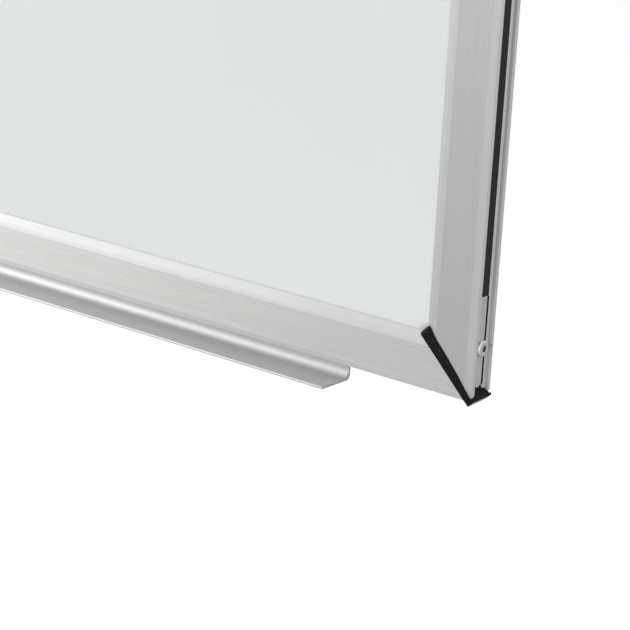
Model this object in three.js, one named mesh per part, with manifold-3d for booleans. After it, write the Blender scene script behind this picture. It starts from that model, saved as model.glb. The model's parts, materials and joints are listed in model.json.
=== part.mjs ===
// A wall-hung magnetic whiteboard: an enamelled steel writing panel in a mitred aluminium
// frame, joined at its corners by black plastic connectors, with a pen tray that slides along
// the channel in the bottom rail.
// Millimetres, +Z up. The front faces -Y and the wall is the plane y = 0. The origin is on the
// back of the top rail, halfway along it, where the board hangs.
import * as THREE from 'three';
import { mergeVertices } from 'three/addons/utils/BufferGeometryUtils.js';
import Module from 'manifold-3d';

const wasm = await Module();
wasm.setup();

// Driving dimensions of the whole board
const board_width = 900;
const board_height = 600;
const frame_depth = 17;
const face_width = 27.4;

// Running and assembly clearances
const fit_gap = 0.3;
const seat_gap = 0.1;
const glue_line = 0.06;
const cut_overrun = 2;
const merge_tolerance = 1e-5;
const cut_tolerance = 0.004;

// The rail's section. u runs inwards from the rail's outer side, v back from its face.
const wall = 1.4;
const outer_bevel_width = 3.4;
const outer_bevel_drop = 0.7;
const outer_bevel_bulge = 0.12;
const inner_bevel_width = 6.4;
const inner_bevel_drop = 2.8;
const inner_bevel_bulge = 0.55;
const bevel_steps = 8;
const lip_tip_height = 0.35;
const lip_tip_width = 1.2;
const shadow_groove_width = 0.36;
const shadow_groove_depth = 0.3;
const corner_round = 0.5;
const round_steps = 4;
const nose_back = 5.2;
const nose_lean = 0.8;
const channel_lip = 1.2;
const channel_floor = 6.6;
const channel_front = 4;
const flange_setback = 2.5;
const flange_front = 13.3;
const rear_lip_front = 15;
const rear_lip_setback = 0.5;
const chamber_wall = 1.2;
const chamber_width = 6.8;
const web_thickness = 1.2;
const panel_seat = 3.3;
const rear_flange_reach = 9.2;
const rear_flange_thickness = 1.2;
const nose_grooves = 3;
const nose_groove_width = 0.5;
const nose_groove_depth = 0.16;

// The panel held in the frame's groove
const sheet_thickness = 0.6;
const core_thickness = 7.5;
const back_sheet_thickness = 0.5;
const panel_edge_gap = 0.5;
const panel_back_gap = 0.3;

// The corner connectors
const mitre_setback = 1.2;
const fin_thickness = 1.2;
const fin_proud = 0.9;
const fin_lean = 0.45;
const fin_round_length = 2.6;
const fin_round_depth = 1.3;
const cap_proud = 0.6;
const cap_lift = 0.1;
const cap_width_outer = 2.9;
const cap_width_inner = 5.4;
const cap_offset = 0.3;
const cap_overhang = 1.4;
const cap_end_round = 2.1;
const cap_corner_round = 1.1;
const leg_length = 44;
const leg_lead_in = 2.5;
const leg_window_shares = [0.7, 0.5];

// The locking bars, the plastic seats under them and their pan-head screws
const bar_start = 4.9;
const bar_length = 43.6;
const bar_width = 5.1;
const bar_thickness = 1.4;
const bar_setback = 2.4;
const seat_relief = 4.1;
const screw_from_corner = 24;
const screw_depth = 9.35;
const screw_head_diameter = 8;
const screw_head_height = 2;
const screw_head_round = 1.1;
const screw_diameter = 4;
const screw_length = 11.5;
const screw_hole_gap = 0.3;
const socket_across_flats = 3;
const socket_depth = 1.3;
const socket_sides = 6;
const screw_tip_share = 0.25;
const screw_segments = 24;
const head_round_steps = 4;
const notch_width = 3;
const notch_depth = 1.3;
const round_segments = 32;

// The infill strips that close the channels
const strip_end_gap = 0.3;
const strip_setback = 2.6;
const strip_thickness = 1.1;
const strip_barb = 0.9;

// The pen tray
const tray_end_from_corner = 74;
const tray_thickness = 1.2;
const tray_wall_front = 5.6;
const tray_drop = 8.6;
const tray_reach = 14.2;
const tray_fillet = 4;
const tray_outer_round = 2.9;
const tray_bead_radius = 0.9;
const tray_head_thickness = 1.4;

// The wall hangers on the top rail
const hanger_from_end = 120;
const hanger_width = 44;
const hanger_thickness = 1.2;
const hanger_joggle = 1.5;
const hanger_tab_length = 26;
const keyhole_radius = 4.5;
const keyhole_share = 0.67;
const keyslot_width = 5;
const keyslot_length = 8;
const hanger_screw_spacing = 32;
const hanger_screw_head_diameter = 6.4;
const hanger_screw_head_height = 0.9;
const hanger_screw_head_round = 0.6;
const hanger_screw_diameter = 2.6;
const hanger_socket_across_flats = 2;
const hanger_socket_depth = 0.55;
const hanger_screw_segments = 16;

// Values that follow from the ones above
const inner_bevel_start = face_width - inner_bevel_width;
const chamber_start = channel_floor + chamber_wall;
const chamber_end = chamber_start + chamber_width;
const groove_floor = chamber_end + web_thickness;
const back_wall_front = frame_depth - wall;
const sheet_back = panel_seat + sheet_thickness;
const core_front = sheet_back + glue_line;
const core_back = core_front + core_thickness;
const back_sheet_front = core_back + glue_line;
const back_sheet_back = back_sheet_front + back_sheet_thickness;
const rear_flange_front = back_sheet_back + panel_back_gap;
const rear_flange_back = rear_flange_front + rear_flange_thickness;
const panel_inset = groove_floor + panel_edge_gap;
const hang_line = (rear_lip_setback + groove_floor) / 2;
const board_centre = hang_line - board_height / 2;
const root_two = Math.SQRT2;

// Colours, roughness and metalness of the finishes
const finish = {
  anodised: new THREE.MeshStandardMaterial({ color: 0xc9cac6, roughness: 0.38, metalness: 0.85 }),
  enamel: new THREE.MeshStandardMaterial({ color: 0xe6ebea, roughness: 0.16, metalness: 0 }),
  core: new THREE.MeshStandardMaterial({ color: 0xb79b74, roughness: 0.9, metalness: 0 }),
  galvanised: new THREE.MeshStandardMaterial({ color: 0xa9adb0, roughness: 0.45, metalness: 0.9 }),
  black_plastic: new THREE.MeshStandardMaterial({ color: 0x1c1b19, roughness: 0.5, metalness: 0 }),
  black_strip: new THREE.MeshStandardMaterial({ color: 0x2c2b29, roughness: 0.7, metalness: 0 }),
  zinc: new THREE.MeshStandardMaterial({ color: 0xc4c6c4, roughness: 0.35, metalness: 0.9 }),
};

// Helpers that turn outlines into closed bodies

// Merges coincident vertices and leaves out the triangles that this closes up.
function positionOnly(geometry) {
  const bare = geometry.index ? geometry.toNonIndexed() : geometry.clone();
  bare.deleteAttribute('normal');
  bare.deleteAttribute('uv');
  const merged = mergeVertices(bare, merge_tolerance);
  const order = Array.from(merged.index.array);
  const kept = [];
  for (let i = 0; i < order.length; i += 3) {
    const [a, b, c] = order.slice(i, i + 3);
    if (a !== b && b !== c && c !== a) {
      kept.push(a, b, c);
    }
  }
  merged.setIndex(kept);
  return merged;
}

// Moves every vertex (a, b, c) of a geometry to the place that the rule gives it.
function reshape(geometry, rule) {
  const bare = positionOnly(geometry);
  const position = bare.attributes.position;
  for (let i = 0; i < position.count; i += 1) {
    const [x, y, z] = rule(position.getX(i), position.getY(i), position.getZ(i));
    position.setXYZ(i, x, y, z);
  }
  return bare;
}

function toManifold(geometry) {
  const bare = positionOnly(geometry);
  return new wasm.Manifold(new wasm.Mesh({
    numProp: 3,
    vertProperties: new Float32Array(bare.attributes.position.array),
    triVerts: new Uint32Array(bare.index.array),
  }));
}

function fromManifold(solid) {
  const mesh = solid.asOriginal().simplify(cut_tolerance).getMesh();
  const geometry = new THREE.BufferGeometry();
  geometry.setAttribute('position', new THREE.BufferAttribute(mesh.vertProperties, 3));
  geometry.setIndex(new THREE.BufferAttribute(mesh.triVerts, 1));
  return geometry;
}

function cut(geometry, cutters) {
  return fromManifold(cutters.reduce((rest, cutter) => rest.subtract(toManifold(cutter)),
    toManifold(geometry)));
}

function join(geometries) {
  return fromManifold(geometries.map(toManifold).reduce((sum, solid) => sum.add(solid)));
}

function outline(points, holes = []) {
  const shape = new THREE.Shape(points.map(([a, b]) => new THREE.Vector2(a, b)));
  for (const hole of holes) {
    shape.holes.push(new THREE.Path(hole.map(([a, b]) => new THREE.Vector2(a, b))));
  }
  return shape;
}

// Extrudes an outline by the given depth, centred on its own plane.
function slab(shape, depth) {
  const geometry = new THREE.ExtrudeGeometry(shape, { depth, bevelEnabled: false, steps: 1 });
  geometry.translate(0, 0, -depth / 2);
  return geometry;
}

function box(from, to) {
  const size = to.map((end, axis) => end - from[axis]);
  const geometry = new THREE.BoxGeometry(...size);
  geometry.translate(...from.map((start, axis) => start + size[axis] / 2));
  return geometry;
}

// A quarter or other arc between two angles, in degrees, as outline points.
function arc(centre_a, centre_b, radius, from_deg, to_deg, steps = round_steps) {
  return Array.from({ length: steps + 1 }, (_, i) => {
    const angle = THREE.MathUtils.degToRad(from_deg + (to_deg - from_deg) * i / steps);
    return [centre_a + radius * Math.cos(angle), centre_b + radius * Math.sin(angle)];
  });
}

// A shallow outward bow between two points: the smooth bevels of the rail.
function bow(from, to, bulge, steps = bevel_steps) {
  const [da, db] = [to[0] - from[0], to[1] - from[1]];
  const length = Math.hypot(da, db);
  return Array.from({ length: steps + 1 }, (_, i) => {
    const share = i / steps;
    const rise = 4 * bulge * share * (1 - share);
    return [from[0] + da * share + rise * db / length, from[1] + db * share - rise * da / length];
  });
}

// Evenly spaced V grooves along a straight stretch of an outline.
function grooved(from, to, count, width, depth) {
  const [da, db] = [to[0] - from[0], to[1] - from[1]];
  const length = Math.hypot(da, db);
  const points = [from];
  for (let i = 1; i <= count; i += 1) {
    const middle = i / (count + 1);
    const half = width / 2 / length;
    points.push([from[0] + da * (middle - half), from[1] + db * (middle - half)]);
    points.push([from[0] + da * middle + depth * db / length,
      from[1] + db * middle - depth * da / length]);
    points.push([from[0] + da * (middle + half), from[1] + db * (middle + half)]);
  }
  points.push(to);
  return points;
}

// The aluminium rails

function railSection() {
  const face = [
    ...bow([face_width, inner_bevel_drop], [inner_bevel_start, 0], -inner_bevel_bulge),
    [inner_bevel_start - shadow_groove_width / 2, shadow_groove_depth],
    [inner_bevel_start - shadow_groove_width, 0],
    ...bow([outer_bevel_width, 0], [corner_round, outer_bevel_drop], -outer_bevel_bulge),
    ...arc(corner_round, outer_bevel_drop + corner_round, corner_round, -90, -180).slice(1, -1),
  ];
  const nose = [
    ...grooved([0, outer_bevel_drop + corner_round], [nose_lean, nose_back - corner_round],
      nose_grooves, nose_groove_width, nose_groove_depth),
    ...arc(nose_lean + corner_round, nose_back - corner_round, corner_round, 180, 90).slice(1),
    [nose_lean + channel_lip, nose_back],
  ];
  const channel = [
    [nose_lean + channel_lip, channel_front],
    [channel_floor, channel_front],
    [channel_floor, back_wall_front],
    [flange_setback + channel_lip, back_wall_front],
    [flange_setback + channel_lip, flange_front],
  ];
  const rear_lip = [
    ...arc(flange_setback + corner_round, flange_front + corner_round, corner_round, 270, 180),
    ...grooved([flange_setback, flange_front + 2 * corner_round], [flange_setback, rear_lip_front],
      1, nose_groove_width, nose_groove_depth).slice(1),
    ...arc(rear_lip_setback + corner_round / 2, rear_lip_front + corner_round / 2,
      corner_round / 2, 270, 180),
    ...grooved([rear_lip_setback, rear_lip_front + notch_depth],
      [rear_lip_setback, frame_depth - corner_round / 2], 1, shadow_groove_width,
      nose_groove_depth).slice(1, -1),
    ...arc(rear_lip_setback + corner_round / 2, frame_depth - corner_round / 2,
      corner_round / 2, 180, 90),
    [groove_floor, frame_depth],
  ];
  const panel_groove = [
    [groove_floor, rear_flange_back],
    [groove_floor + rear_flange_reach, rear_flange_back],
    [groove_floor + rear_flange_reach, rear_flange_front],
    [groove_floor, rear_flange_front],
    [groove_floor, wall],
    [inner_bevel_start - shadow_groove_width, wall],
    [face_width - lip_tip_width, inner_bevel_drop + lip_tip_height],
    [face_width, inner_bevel_drop + lip_tip_height],
  ];
  const chamber = [
    [chamber_start, wall],
    [chamber_end, wall],
    [chamber_end, back_wall_front],
    [chamber_start, back_wall_front],
  ];
  return outline([...face, ...nose, ...channel, ...rear_lip, ...panel_groove], [chamber]);
}

// A cylinder along u, from one distance inside the rail's outer side to another.
function cylinderAlongU(x, v, radius, u_from, u_to) {
  const geometry = new THREE.CylinderGeometry(radius, radius, u_to - u_from, round_segments);
  geometry.rotateX(Math.PI / 2);
  geometry.translate(x, v - frame_depth, -(u_from + u_to) / 2);
  return geometry;
}

// The small V cut in the rear lip beside each locking screw.
function lipNotch(x) {
  const shape = outline([
    [-notch_width / 2, -cut_overrun],
    [notch_width / 2, -cut_overrun],
    [notch_width / 2, 0],
    [0, notch_depth],
    [-notch_width / 2, 0],
  ]);
  const geometry = slab(shape, flange_setback);
  geometry.translate(x, rear_lip_front - frame_depth, -rear_lip_setback);
  return geometry;
}

// A rail lies along X with its outer side up, at z = 0, and its back at y = 0.
function railGeometry(length, more_cutters = []) {
  const half = length / 2;
  const bar = slab(railSection(), length);
  const mitred = reshape(bar, (u, v, along) => [Math.sign(along) * (half - u - mitre_setback),
    v - frame_depth, -u]);
  const screw_x = half - screw_from_corner;
  const cutters = [-screw_x, screw_x].flatMap((x) => [
    cylinderAlongU(x, screw_depth, screw_diameter / 2 + screw_hole_gap,
      channel_floor - cut_overrun, chamber_start + chamber_width / 2),
    lipNotch(x),
  ]);
  return cut(mitred, [...cutters, ...more_cutters]);
}

// The panel: writing sheet, core and back sheet

function panelLayer(v_front, thickness) {
  const half_width = board_width / 2 - panel_inset;
  const half_height = board_height / 2 - panel_inset;
  return box([-half_width, v_front - frame_depth, -half_height],
    [half_width, v_front + thickness - frame_depth, half_height]);
}

// The corner connectors, drawn for the top right corner with the frame's outer corner at the
// origin. s runs inwards along the mitre, v back from the face and n across the mitre.

function fromMitre(s, v, n) {
  return [(n - s) / root_two, v - frame_depth, -(n + s) / root_two];
}

// The fin's outer edge draws in towards the wall in a quarter of an ellipse.
function finGeometry() {
  const fin_back = frame_depth - fit_gap;
  const outer_edge = arc(0, 0, 1, 90, 0, 2 * round_steps).map(([inward, forward]) => [
    fin_lean - fin_proud + fin_round_depth * (1 - forward),
    fin_back - fin_round_length + fin_round_length * inward,
  ]);
  const shape = outline([
    [-fin_proud, cap_lift - cap_proud],
    [face_width * root_two, cap_lift - cap_proud],
    [face_width * root_two, panel_seat - fit_gap],
    [groove_floor * root_two, panel_seat - fit_gap],
    [groove_floor * root_two, fin_back],
    ...outer_edge.reverse(),
  ]);
  return reshape(slab(shape, fin_thickness), fromMitre);
}

// The inner end of the cover strip, along the mitre.
function capReach() {
  return (face_width + cap_overhang) * root_two;
}

function capTaper(s) {
  return cap_width_outer + (cap_width_inner - cap_width_outer) * s / (face_width * root_two);
}

// The cover strip widens inwards, and the corners of its inner end are rounded.
function capWidth(s) {
  const past = THREE.MathUtils.clamp(s - capReach() + cap_corner_round, 0, cap_corner_round);
  const trim = cap_corner_round - Math.sqrt(cap_corner_round ** 2 - past ** 2);
  return capTaper(s) - 2 * trim;
}

function capGeometry() {
  const reach = capReach();
  const side_shift = capTaper(reach) / 2 + cap_offset;
  const bevel = bow([face_width, inner_bevel_drop], [inner_bevel_start, 0], -inner_bevel_bulge);
  const underside = bevel.map(([u, v]) => [u * root_two + side_shift, v - cap_lift])
    .filter(([s]) => s < reach);
  const shape = outline([
    [-fin_proud, -cap_proud],
    ...arc(reach - cap_end_round, cap_end_round - cap_proud, cap_end_round, -90, 0),
    [reach, underside[0][1]],
    ...underside,
    [-fin_proud, -cap_lift],
  ]);
  return reshape(slab(shape, 1), (s, v, side) => fromMitre(s, v,
    side * capWidth(s) - cap_offset));
}

// One leg, along -X inside the top rail, from the mitre to its tapered end.
function legGeometry() {
  const [v_low, v_high] = [wall + fit_gap, back_wall_front - fit_gap];
  const [room_start, room_end] = [screw_from_corner + screw_diameter, leg_length - leg_lead_in];
  const half_length = (room_end - room_start) / 2 * leg_window_shares[0];
  const half_height = (v_high - v_low) / 2 * leg_window_shares[1];
  const [middle, v_middle] = [(room_start + room_end) / 2, (v_low + v_high) / 2];
  const window = [
    [middle - half_length, v_middle - half_height],
    [middle + half_length, v_middle - half_height],
    [middle + half_length, v_middle + half_height],
    [middle - half_length, v_middle + half_height],
  ];
  const shape = outline([
    [0, v_low],
    [leg_length - leg_lead_in, v_low],
    [leg_length, v_low + leg_lead_in],
    [leg_length, v_high - leg_lead_in],
    [leg_length - leg_lead_in, v_high],
    [0, v_high],
  ], [window, arc(screw_from_corner, screw_depth, screw_diameter / 2 + screw_hole_gap,
    0, 360 - 360 / round_segments, round_segments - 1)]);
  const leg_width = chamber_width - 2 * fit_gap;
  const leg_middle = chamber_start + chamber_width / 2;
  return reshape(slab(shape, leg_width), (along, v, across) => {
    const u = leg_middle + across;
    return [along > 0 ? -along : -u, v - frame_depth, -u];
  });
}

// The twin leg inside the right rail is the mirror image across the mitre.
function mirroredLeg() {
  const twin = legGeometry();
  const position = twin.attributes.position;
  for (let i = 0; i < position.count; i += 1) {
    position.setXYZ(i, position.getZ(i), position.getY(i), position.getX(i));
  }
  const order = twin.index.array;
  for (let i = 0; i < order.length; i += 3) {
    [order[i], order[i + 1]] = [order[i + 1], order[i]];
  }
  return twin;
}

function connectorGeometry() {
  return join([finGeometry(), capGeometry(), legGeometry(), mirroredLeg()]);
}

// Locking bars, their seats, screws and infill strips, drawn in a rail's own frame

// The bore for a locking screw, through whatever lies in the channel.
function screwBore(x) {
  return cylinderAlongU(x, screw_depth, (screw_diameter + screw_hole_gap) / 2,
    bar_setback - cut_overrun, channel_floor + cut_overrun);
}

// A locking bar: a plate in the channel's mouth with its round end towards the corner.
function barGeometry(end_sign) {
  const radius = bar_width / 2;
  const points = [
    [-bar_length / 2, -radius],
    ...arc(bar_length / 2 - radius, 0, radius, -90, 90, 2 * round_steps),
    [-bar_length / 2, radius],
  ];
  const shape = outline(points.map(([along, across]) => [end_sign * along, end_sign * across]));
  const plate = reshape(slab(shape, bar_thickness), (along, across, up) => [along,
    screw_depth - frame_depth + across, up - bar_setback - bar_thickness / 2]);
  const hole_x = end_sign * (bar_start + bar_length / 2 - screw_from_corner);
  return cut(plate, [screwBore(hole_x)]);
}

// The plastic seat that slides in the channel and carries the locking bar.
function seatGeometry(end_sign) {
  const half = (bar_length - seat_relief) / 2;
  const body = box([-half, channel_front + fit_gap - frame_depth, seat_gap - channel_floor],
    [half, back_wall_front - fit_gap - frame_depth, -bar_setback - bar_thickness - seat_gap]);
  const hole_x = end_sign * (bar_start + seat_relief + half - screw_from_corner);
  return cut(body, [screwBore(hole_x)]);
}

// A pan-head screw with a hexagon socket: its axis is local Z and its head's seat is z = 0.
function panScrew(head, shank, socket, segments) {
  const radius = head.diameter / 2;
  const tip = shank.diameter / 2 * screw_tip_share;
  const profile = [
    [0, -shank.length],
    [shank.diameter / 2 - tip, -shank.length],
    [shank.diameter / 2, tip - shank.length],
    [shank.diameter / 2, 0],
    [radius, 0],
    ...arc(radius - head.round, head.height - head.round, head.round, 0, 90, head_round_steps),
    [0, head.height],
  ];
  const body = new THREE.LatheGeometry(profile.map(([r, z]) => new THREE.Vector2(r, z)),
    segments);
  const corner_radius = socket.across_flats / 2 / Math.cos(Math.PI / socket_sides);
  const recess = new THREE.CylinderGeometry(corner_radius, corner_radius, 2 * socket.depth,
    socket_sides);
  recess.translate(0, head.height, 0);
  return reshape(cut(body, [recess]), (x, y, z) => [x, -z, y]);
}

function lockingScrewGeometry() {
  return panScrew(
    { diameter: screw_head_diameter, height: screw_head_height, round: screw_head_round },
    { diameter: screw_diameter, length: screw_length },
    { across_flats: socket_across_flats, depth: socket_depth },
    screw_segments,
  );
}

function stripGeometry(rail_length) {
  const length = rail_length - 2 * (bar_start + bar_length + strip_end_gap);
  const [front, rear] = [nose_back + fit_gap, flange_front - fit_gap];
  const [top, under] = [strip_setback, strip_setback + strip_thickness];
  const front_hook = nose_lean + channel_lip + fit_gap;
  const rear_hook = flange_setback + channel_lip + fit_gap;
  const shape = outline([
    [top, front],
    [top, rear],
    [rear_hook, rear],
    [rear_hook, rear + fit_gap + strip_barb],
    [rear_hook + strip_thickness, rear],
    [rear_hook + strip_thickness, rear - strip_thickness],
    [under, rear - strip_thickness],
    [under, front + strip_thickness],
    [front_hook + 2 * strip_thickness, front + strip_thickness],
    [front_hook + 2 * strip_thickness, front],
    [front_hook, front - fit_gap - strip_barb],
    [front_hook, front],
  ]);
  return reshape(slab(shape, length), (u, v, along) => [along, v - frame_depth, -u]);
}

// The pen tray, drawn in the bottom rail's own frame, so that "up" here is down on the board

function trayGeometry(rail_length) {
  const length = rail_length - 2 * tray_end_from_corner;
  const head_top = flange_setback + channel_lip + fit_gap;
  const toe_top = nose_lean + channel_lip + fit_gap;
  const back = tray_wall_front + tray_thickness;
  const [floor_top, floor_under] = [tray_thickness - tray_drop, -tray_drop];
  const bead_u = floor_under + tray_bead_radius;
  const shape = outline([
    [head_top, back],
    [head_top, back_wall_front - 2 * fit_gap],
    [head_top + tray_head_thickness, back_wall_front - 2 * fit_gap],
    [head_top + tray_head_thickness, channel_front + fit_gap],
    [toe_top, channel_front + fit_gap],
    [toe_top, tray_wall_front],
    ...arc(floor_top + tray_fillet, tray_wall_front - tray_fillet, tray_fillet, 90, 180),
    [floor_top, tray_bead_radius - tray_reach],
    ...arc(bead_u, -tray_reach, tray_bead_radius, 0, -180, 2 * round_steps),
    ...arc(floor_under + tray_outer_round, back - tray_outer_round, tray_outer_round, 180, 90),
  ]);
  return reshape(slab(shape, length), (u, v, along) => [along, v - frame_depth, -u]);
}

// The wall hangers: joggled plates on the top rail's rear flange, drawn in that rail's frame

function hangerGeometry() {
  const foot_start = groove_floor + fit_gap;
  const foot_end = groove_floor + rear_flange_reach;
  const joggle_end = foot_end + hanger_joggle;
  const tab_end = joggle_end + hanger_tab_length;
  const foot_v = rear_flange_back + glue_line;
  const tab_v = foot_v + hanger_joggle;
  const section = outline([
    [foot_start, foot_v],
    [foot_end, foot_v],
    [joggle_end, tab_v],
    [tab_end, tab_v],
    [tab_end, tab_v + hanger_thickness],
    [joggle_end - hanger_thickness / 2, tab_v + hanger_thickness],
    [foot_end - hanger_thickness / 2, foot_v + hanger_thickness],
    [foot_start, foot_v + hanger_thickness],
  ]);
  const plate = reshape(slab(section, hanger_width), (u, v, along) => [along,
    v - frame_depth, -u]);
  const hole_u = joggle_end + hanger_tab_length * keyhole_share;
  const keyhole = outline([
    ...arc(0, -hole_u, keyhole_radius, 180 - keyholeOpening(), 360 + keyholeOpening(),
      4 * round_steps),
    ...arc(0, keyslot_length - hole_u, keyslot_width / 2, 0, 180, 2 * round_steps),
  ]);
  const keyhole_cutter = reshape(slab(keyhole, 2 * frame_depth), (x, z, y) => [x, -y, z]);
  const screw_bores = hangerScrewPlaces().map((x) => hangerBore(x));
  return cut(plate, [keyhole_cutter, ...screw_bores]);
}

// The angle at which the key slot's sides leave the round of the keyhole.
function keyholeOpening() {
  return THREE.MathUtils.radToDeg(Math.acos(keyslot_width / 2 / keyhole_radius));
}

function hangerScrewPlaces() {
  return [-hanger_screw_spacing / 2, hanger_screw_spacing / 2];
}

function hangerBore(x) {
  const radius = (hanger_screw_diameter + screw_hole_gap) / 2;
  const geometry = new THREE.CylinderGeometry(radius, radius,
    2 * (cut_overrun + rear_flange_thickness), hanger_screw_segments);
  geometry.translate(x, rear_flange_back - frame_depth, -hangerScrewU());
  return geometry;
}

function hangerScrewU() {
  return groove_floor + rear_flange_reach / 2;
}

// The hanger screws point forwards, so their heads face the wall.
function hangerScrewGeometry() {
  const length = hanger_thickness + rear_flange_thickness;
  const upright = panScrew(
    {
      diameter: hanger_screw_head_diameter,
      height: hanger_screw_head_height,
      round: hanger_screw_head_round,
    },
    { diameter: hanger_screw_diameter, length },
    { across_flats: hanger_socket_across_flats, depth: hanger_socket_depth },
    hanger_screw_segments,
  );
  return reshape(upright, (x, y, z) => [x, z, -y]);
}

// The assembly

const board = new THREE.Group();

function piece(name, geometry, material, parent = board) {
  const shaded = positionOnly(geometry);
  shaded.computeVertexNormals();
  const mesh = new THREE.Mesh(shaded, material);
  mesh.name = name;
  parent.add(mesh);
  return mesh;
}

// The four sides of the frame. In a side's own frame its outer edge is up, at z = 0, and ends
// names what lies at its -X and +X ends on the board.
const sides = {
  top: { turn: 0, x: 0, z: board_height / 2, length: board_width, ends: ['left', 'right'] },
  right: {
    turn: Math.PI / 2, x: board_width / 2, z: 0, length: board_height, ends: ['upper', 'lower'],
  },
  bottom: {
    turn: Math.PI, x: 0, z: -board_height / 2, length: board_width, ends: ['right', 'left'],
  },
  left: {
    turn: -Math.PI / 2, x: -board_width / 2, z: 0, length: board_height, ends: ['lower', 'upper'],
  },
};

function sideGroup(side) {
  const group = new THREE.Group();
  group.position.set(side.x, 0, side.z);
  group.rotation.y = side.turn;
  board.add(group);
  return group;
}

function addRail(name, side, group) {
  const more_cutters = name === 'top' ? hangerPlaces(side.length).flatMap((middle) => (
    hangerScrewPlaces().map((x) => hangerBore(middle + x)))) : [];
  piece(`${name}_rail`, railGeometry(side.length, more_cutters), finish.anodised, group);
}

function addCornerFixings(name, side, group) {
  side.ends.forEach((end, i) => {
    const sign = 2 * i - 1;
    const bar = piece(`${name}_locking_bar_${end}`, barGeometry(sign), finish.zinc, group);
    bar.position.x = sign * (side.length / 2 - bar_start - bar_length / 2);
    const seat = piece(`${name}_locking_seat_${end}`, seatGeometry(sign), finish.black_plastic,
      group);
    seat.position.x = sign * (side.length / 2 - bar_start - seat_relief / 2 - bar_length / 2);
    const screw = piece(`${name}_locking_screw_${end}`, lockingScrewGeometry(), finish.zinc,
      group);
    screw.position.set(sign * (side.length / 2 - screw_from_corner), screw_depth - frame_depth,
      glue_line - bar_setback);
  });
}

function hangerPlaces(rail_length) {
  return [hanger_from_end - rail_length / 2, rail_length / 2 - hanger_from_end];
}

function addHangers(side, group) {
  hangerPlaces(side.length).forEach((middle, i) => {
    const hand = side.ends[i];
    const hanger = piece(`wall_hanger_${hand}`, hangerGeometry(), finish.galvanised, group);
    hanger.position.x = middle;
    hangerScrewPlaces().forEach((x, k) => {
      const screw = piece(`hanger_screw_${hand}_${k + 1}`, hangerScrewGeometry(), finish.zinc,
        group);
      screw.position.set(middle + x, rear_flange_back + hanger_thickness + 2 * glue_line
        - frame_depth, -hangerScrewU());
    });
  });
}

piece('writing_sheet', panelLayer(panel_seat, sheet_thickness), finish.enamel);
piece('core_board', panelLayer(core_front, core_thickness), finish.core);
piece('back_sheet', panelLayer(back_sheet_front, back_sheet_thickness), finish.galvanised);

for (const [name, side] of Object.entries(sides)) {
  const group = sideGroup(side);
  addRail(name, side, group);
  addCornerFixings(name, side, group);
  if (name === 'bottom') {
    piece('pen_tray', trayGeometry(side.length), finish.anodised, group);
  } else {
    piece(`${name}_infill_strip`, stripGeometry(side.length), finish.black_strip, group);
  }
  if (name === 'top') {
    addHangers(side, group);
  }
}

const corners = {
  top_right: { turn: 0, x: board_width / 2, z: board_height / 2 },
  bottom_right: { turn: Math.PI / 2, x: board_width / 2, z: -board_height / 2 },
  bottom_left: { turn: Math.PI, x: -board_width / 2, z: -board_height / 2 },
  top_left: { turn: -Math.PI / 2, x: -board_width / 2, z: board_height / 2 },
};

for (const [name, corner] of Object.entries(corners)) {
  const connector = piece(`corner_connector_${name}`, connectorGeometry(), finish.black_plastic);
  connector.position.set(corner.x, 0, corner.z);
  connector.rotation.y = corner.turn;
}

board.position.z = board_centre;

const whiteboard = new THREE.Group();
whiteboard.add(board);

export default whiteboard;
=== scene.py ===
import json
import math
from collections import namedtuple

import bmesh
import bpy
from mathutils import Matrix, Vector
from mathutils.geometry import tessellate_polygon


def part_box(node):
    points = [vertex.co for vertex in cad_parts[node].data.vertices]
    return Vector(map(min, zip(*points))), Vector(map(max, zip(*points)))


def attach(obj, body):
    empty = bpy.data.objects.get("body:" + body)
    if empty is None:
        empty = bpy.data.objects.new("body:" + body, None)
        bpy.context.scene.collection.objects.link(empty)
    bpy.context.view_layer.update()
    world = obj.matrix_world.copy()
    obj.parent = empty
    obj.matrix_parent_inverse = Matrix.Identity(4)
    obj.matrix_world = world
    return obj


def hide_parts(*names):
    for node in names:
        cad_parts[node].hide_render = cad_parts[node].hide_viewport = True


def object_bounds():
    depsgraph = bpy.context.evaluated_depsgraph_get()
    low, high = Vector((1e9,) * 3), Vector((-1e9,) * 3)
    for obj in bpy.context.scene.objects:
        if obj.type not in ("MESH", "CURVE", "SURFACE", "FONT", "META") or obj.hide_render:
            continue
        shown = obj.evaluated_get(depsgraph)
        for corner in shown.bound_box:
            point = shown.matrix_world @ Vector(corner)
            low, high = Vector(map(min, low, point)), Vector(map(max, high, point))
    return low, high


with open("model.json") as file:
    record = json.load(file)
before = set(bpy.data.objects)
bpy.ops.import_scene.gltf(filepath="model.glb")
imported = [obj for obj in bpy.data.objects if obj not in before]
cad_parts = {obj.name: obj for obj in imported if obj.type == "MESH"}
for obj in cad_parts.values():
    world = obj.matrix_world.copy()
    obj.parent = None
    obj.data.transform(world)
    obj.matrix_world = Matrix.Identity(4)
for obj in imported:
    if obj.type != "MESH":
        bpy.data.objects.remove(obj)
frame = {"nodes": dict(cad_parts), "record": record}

# Lengths are in millimetres up to the point where a mesh is made, as in the part's own source.
# The camera, the lamps and the floor are in metres.
MM = 0.001
CAD_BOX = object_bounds()

# The camera, fitted to the edges of the two rails in the photograph
FOCAL_MM = 123.196
SENSOR_MM = 36
CAMERA_AT = (0.963217, -0.800016, -0.269849)
AZIMUTH = 37.7015
ELEVATION = 16.9101
ROLL = 3.1150

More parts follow.
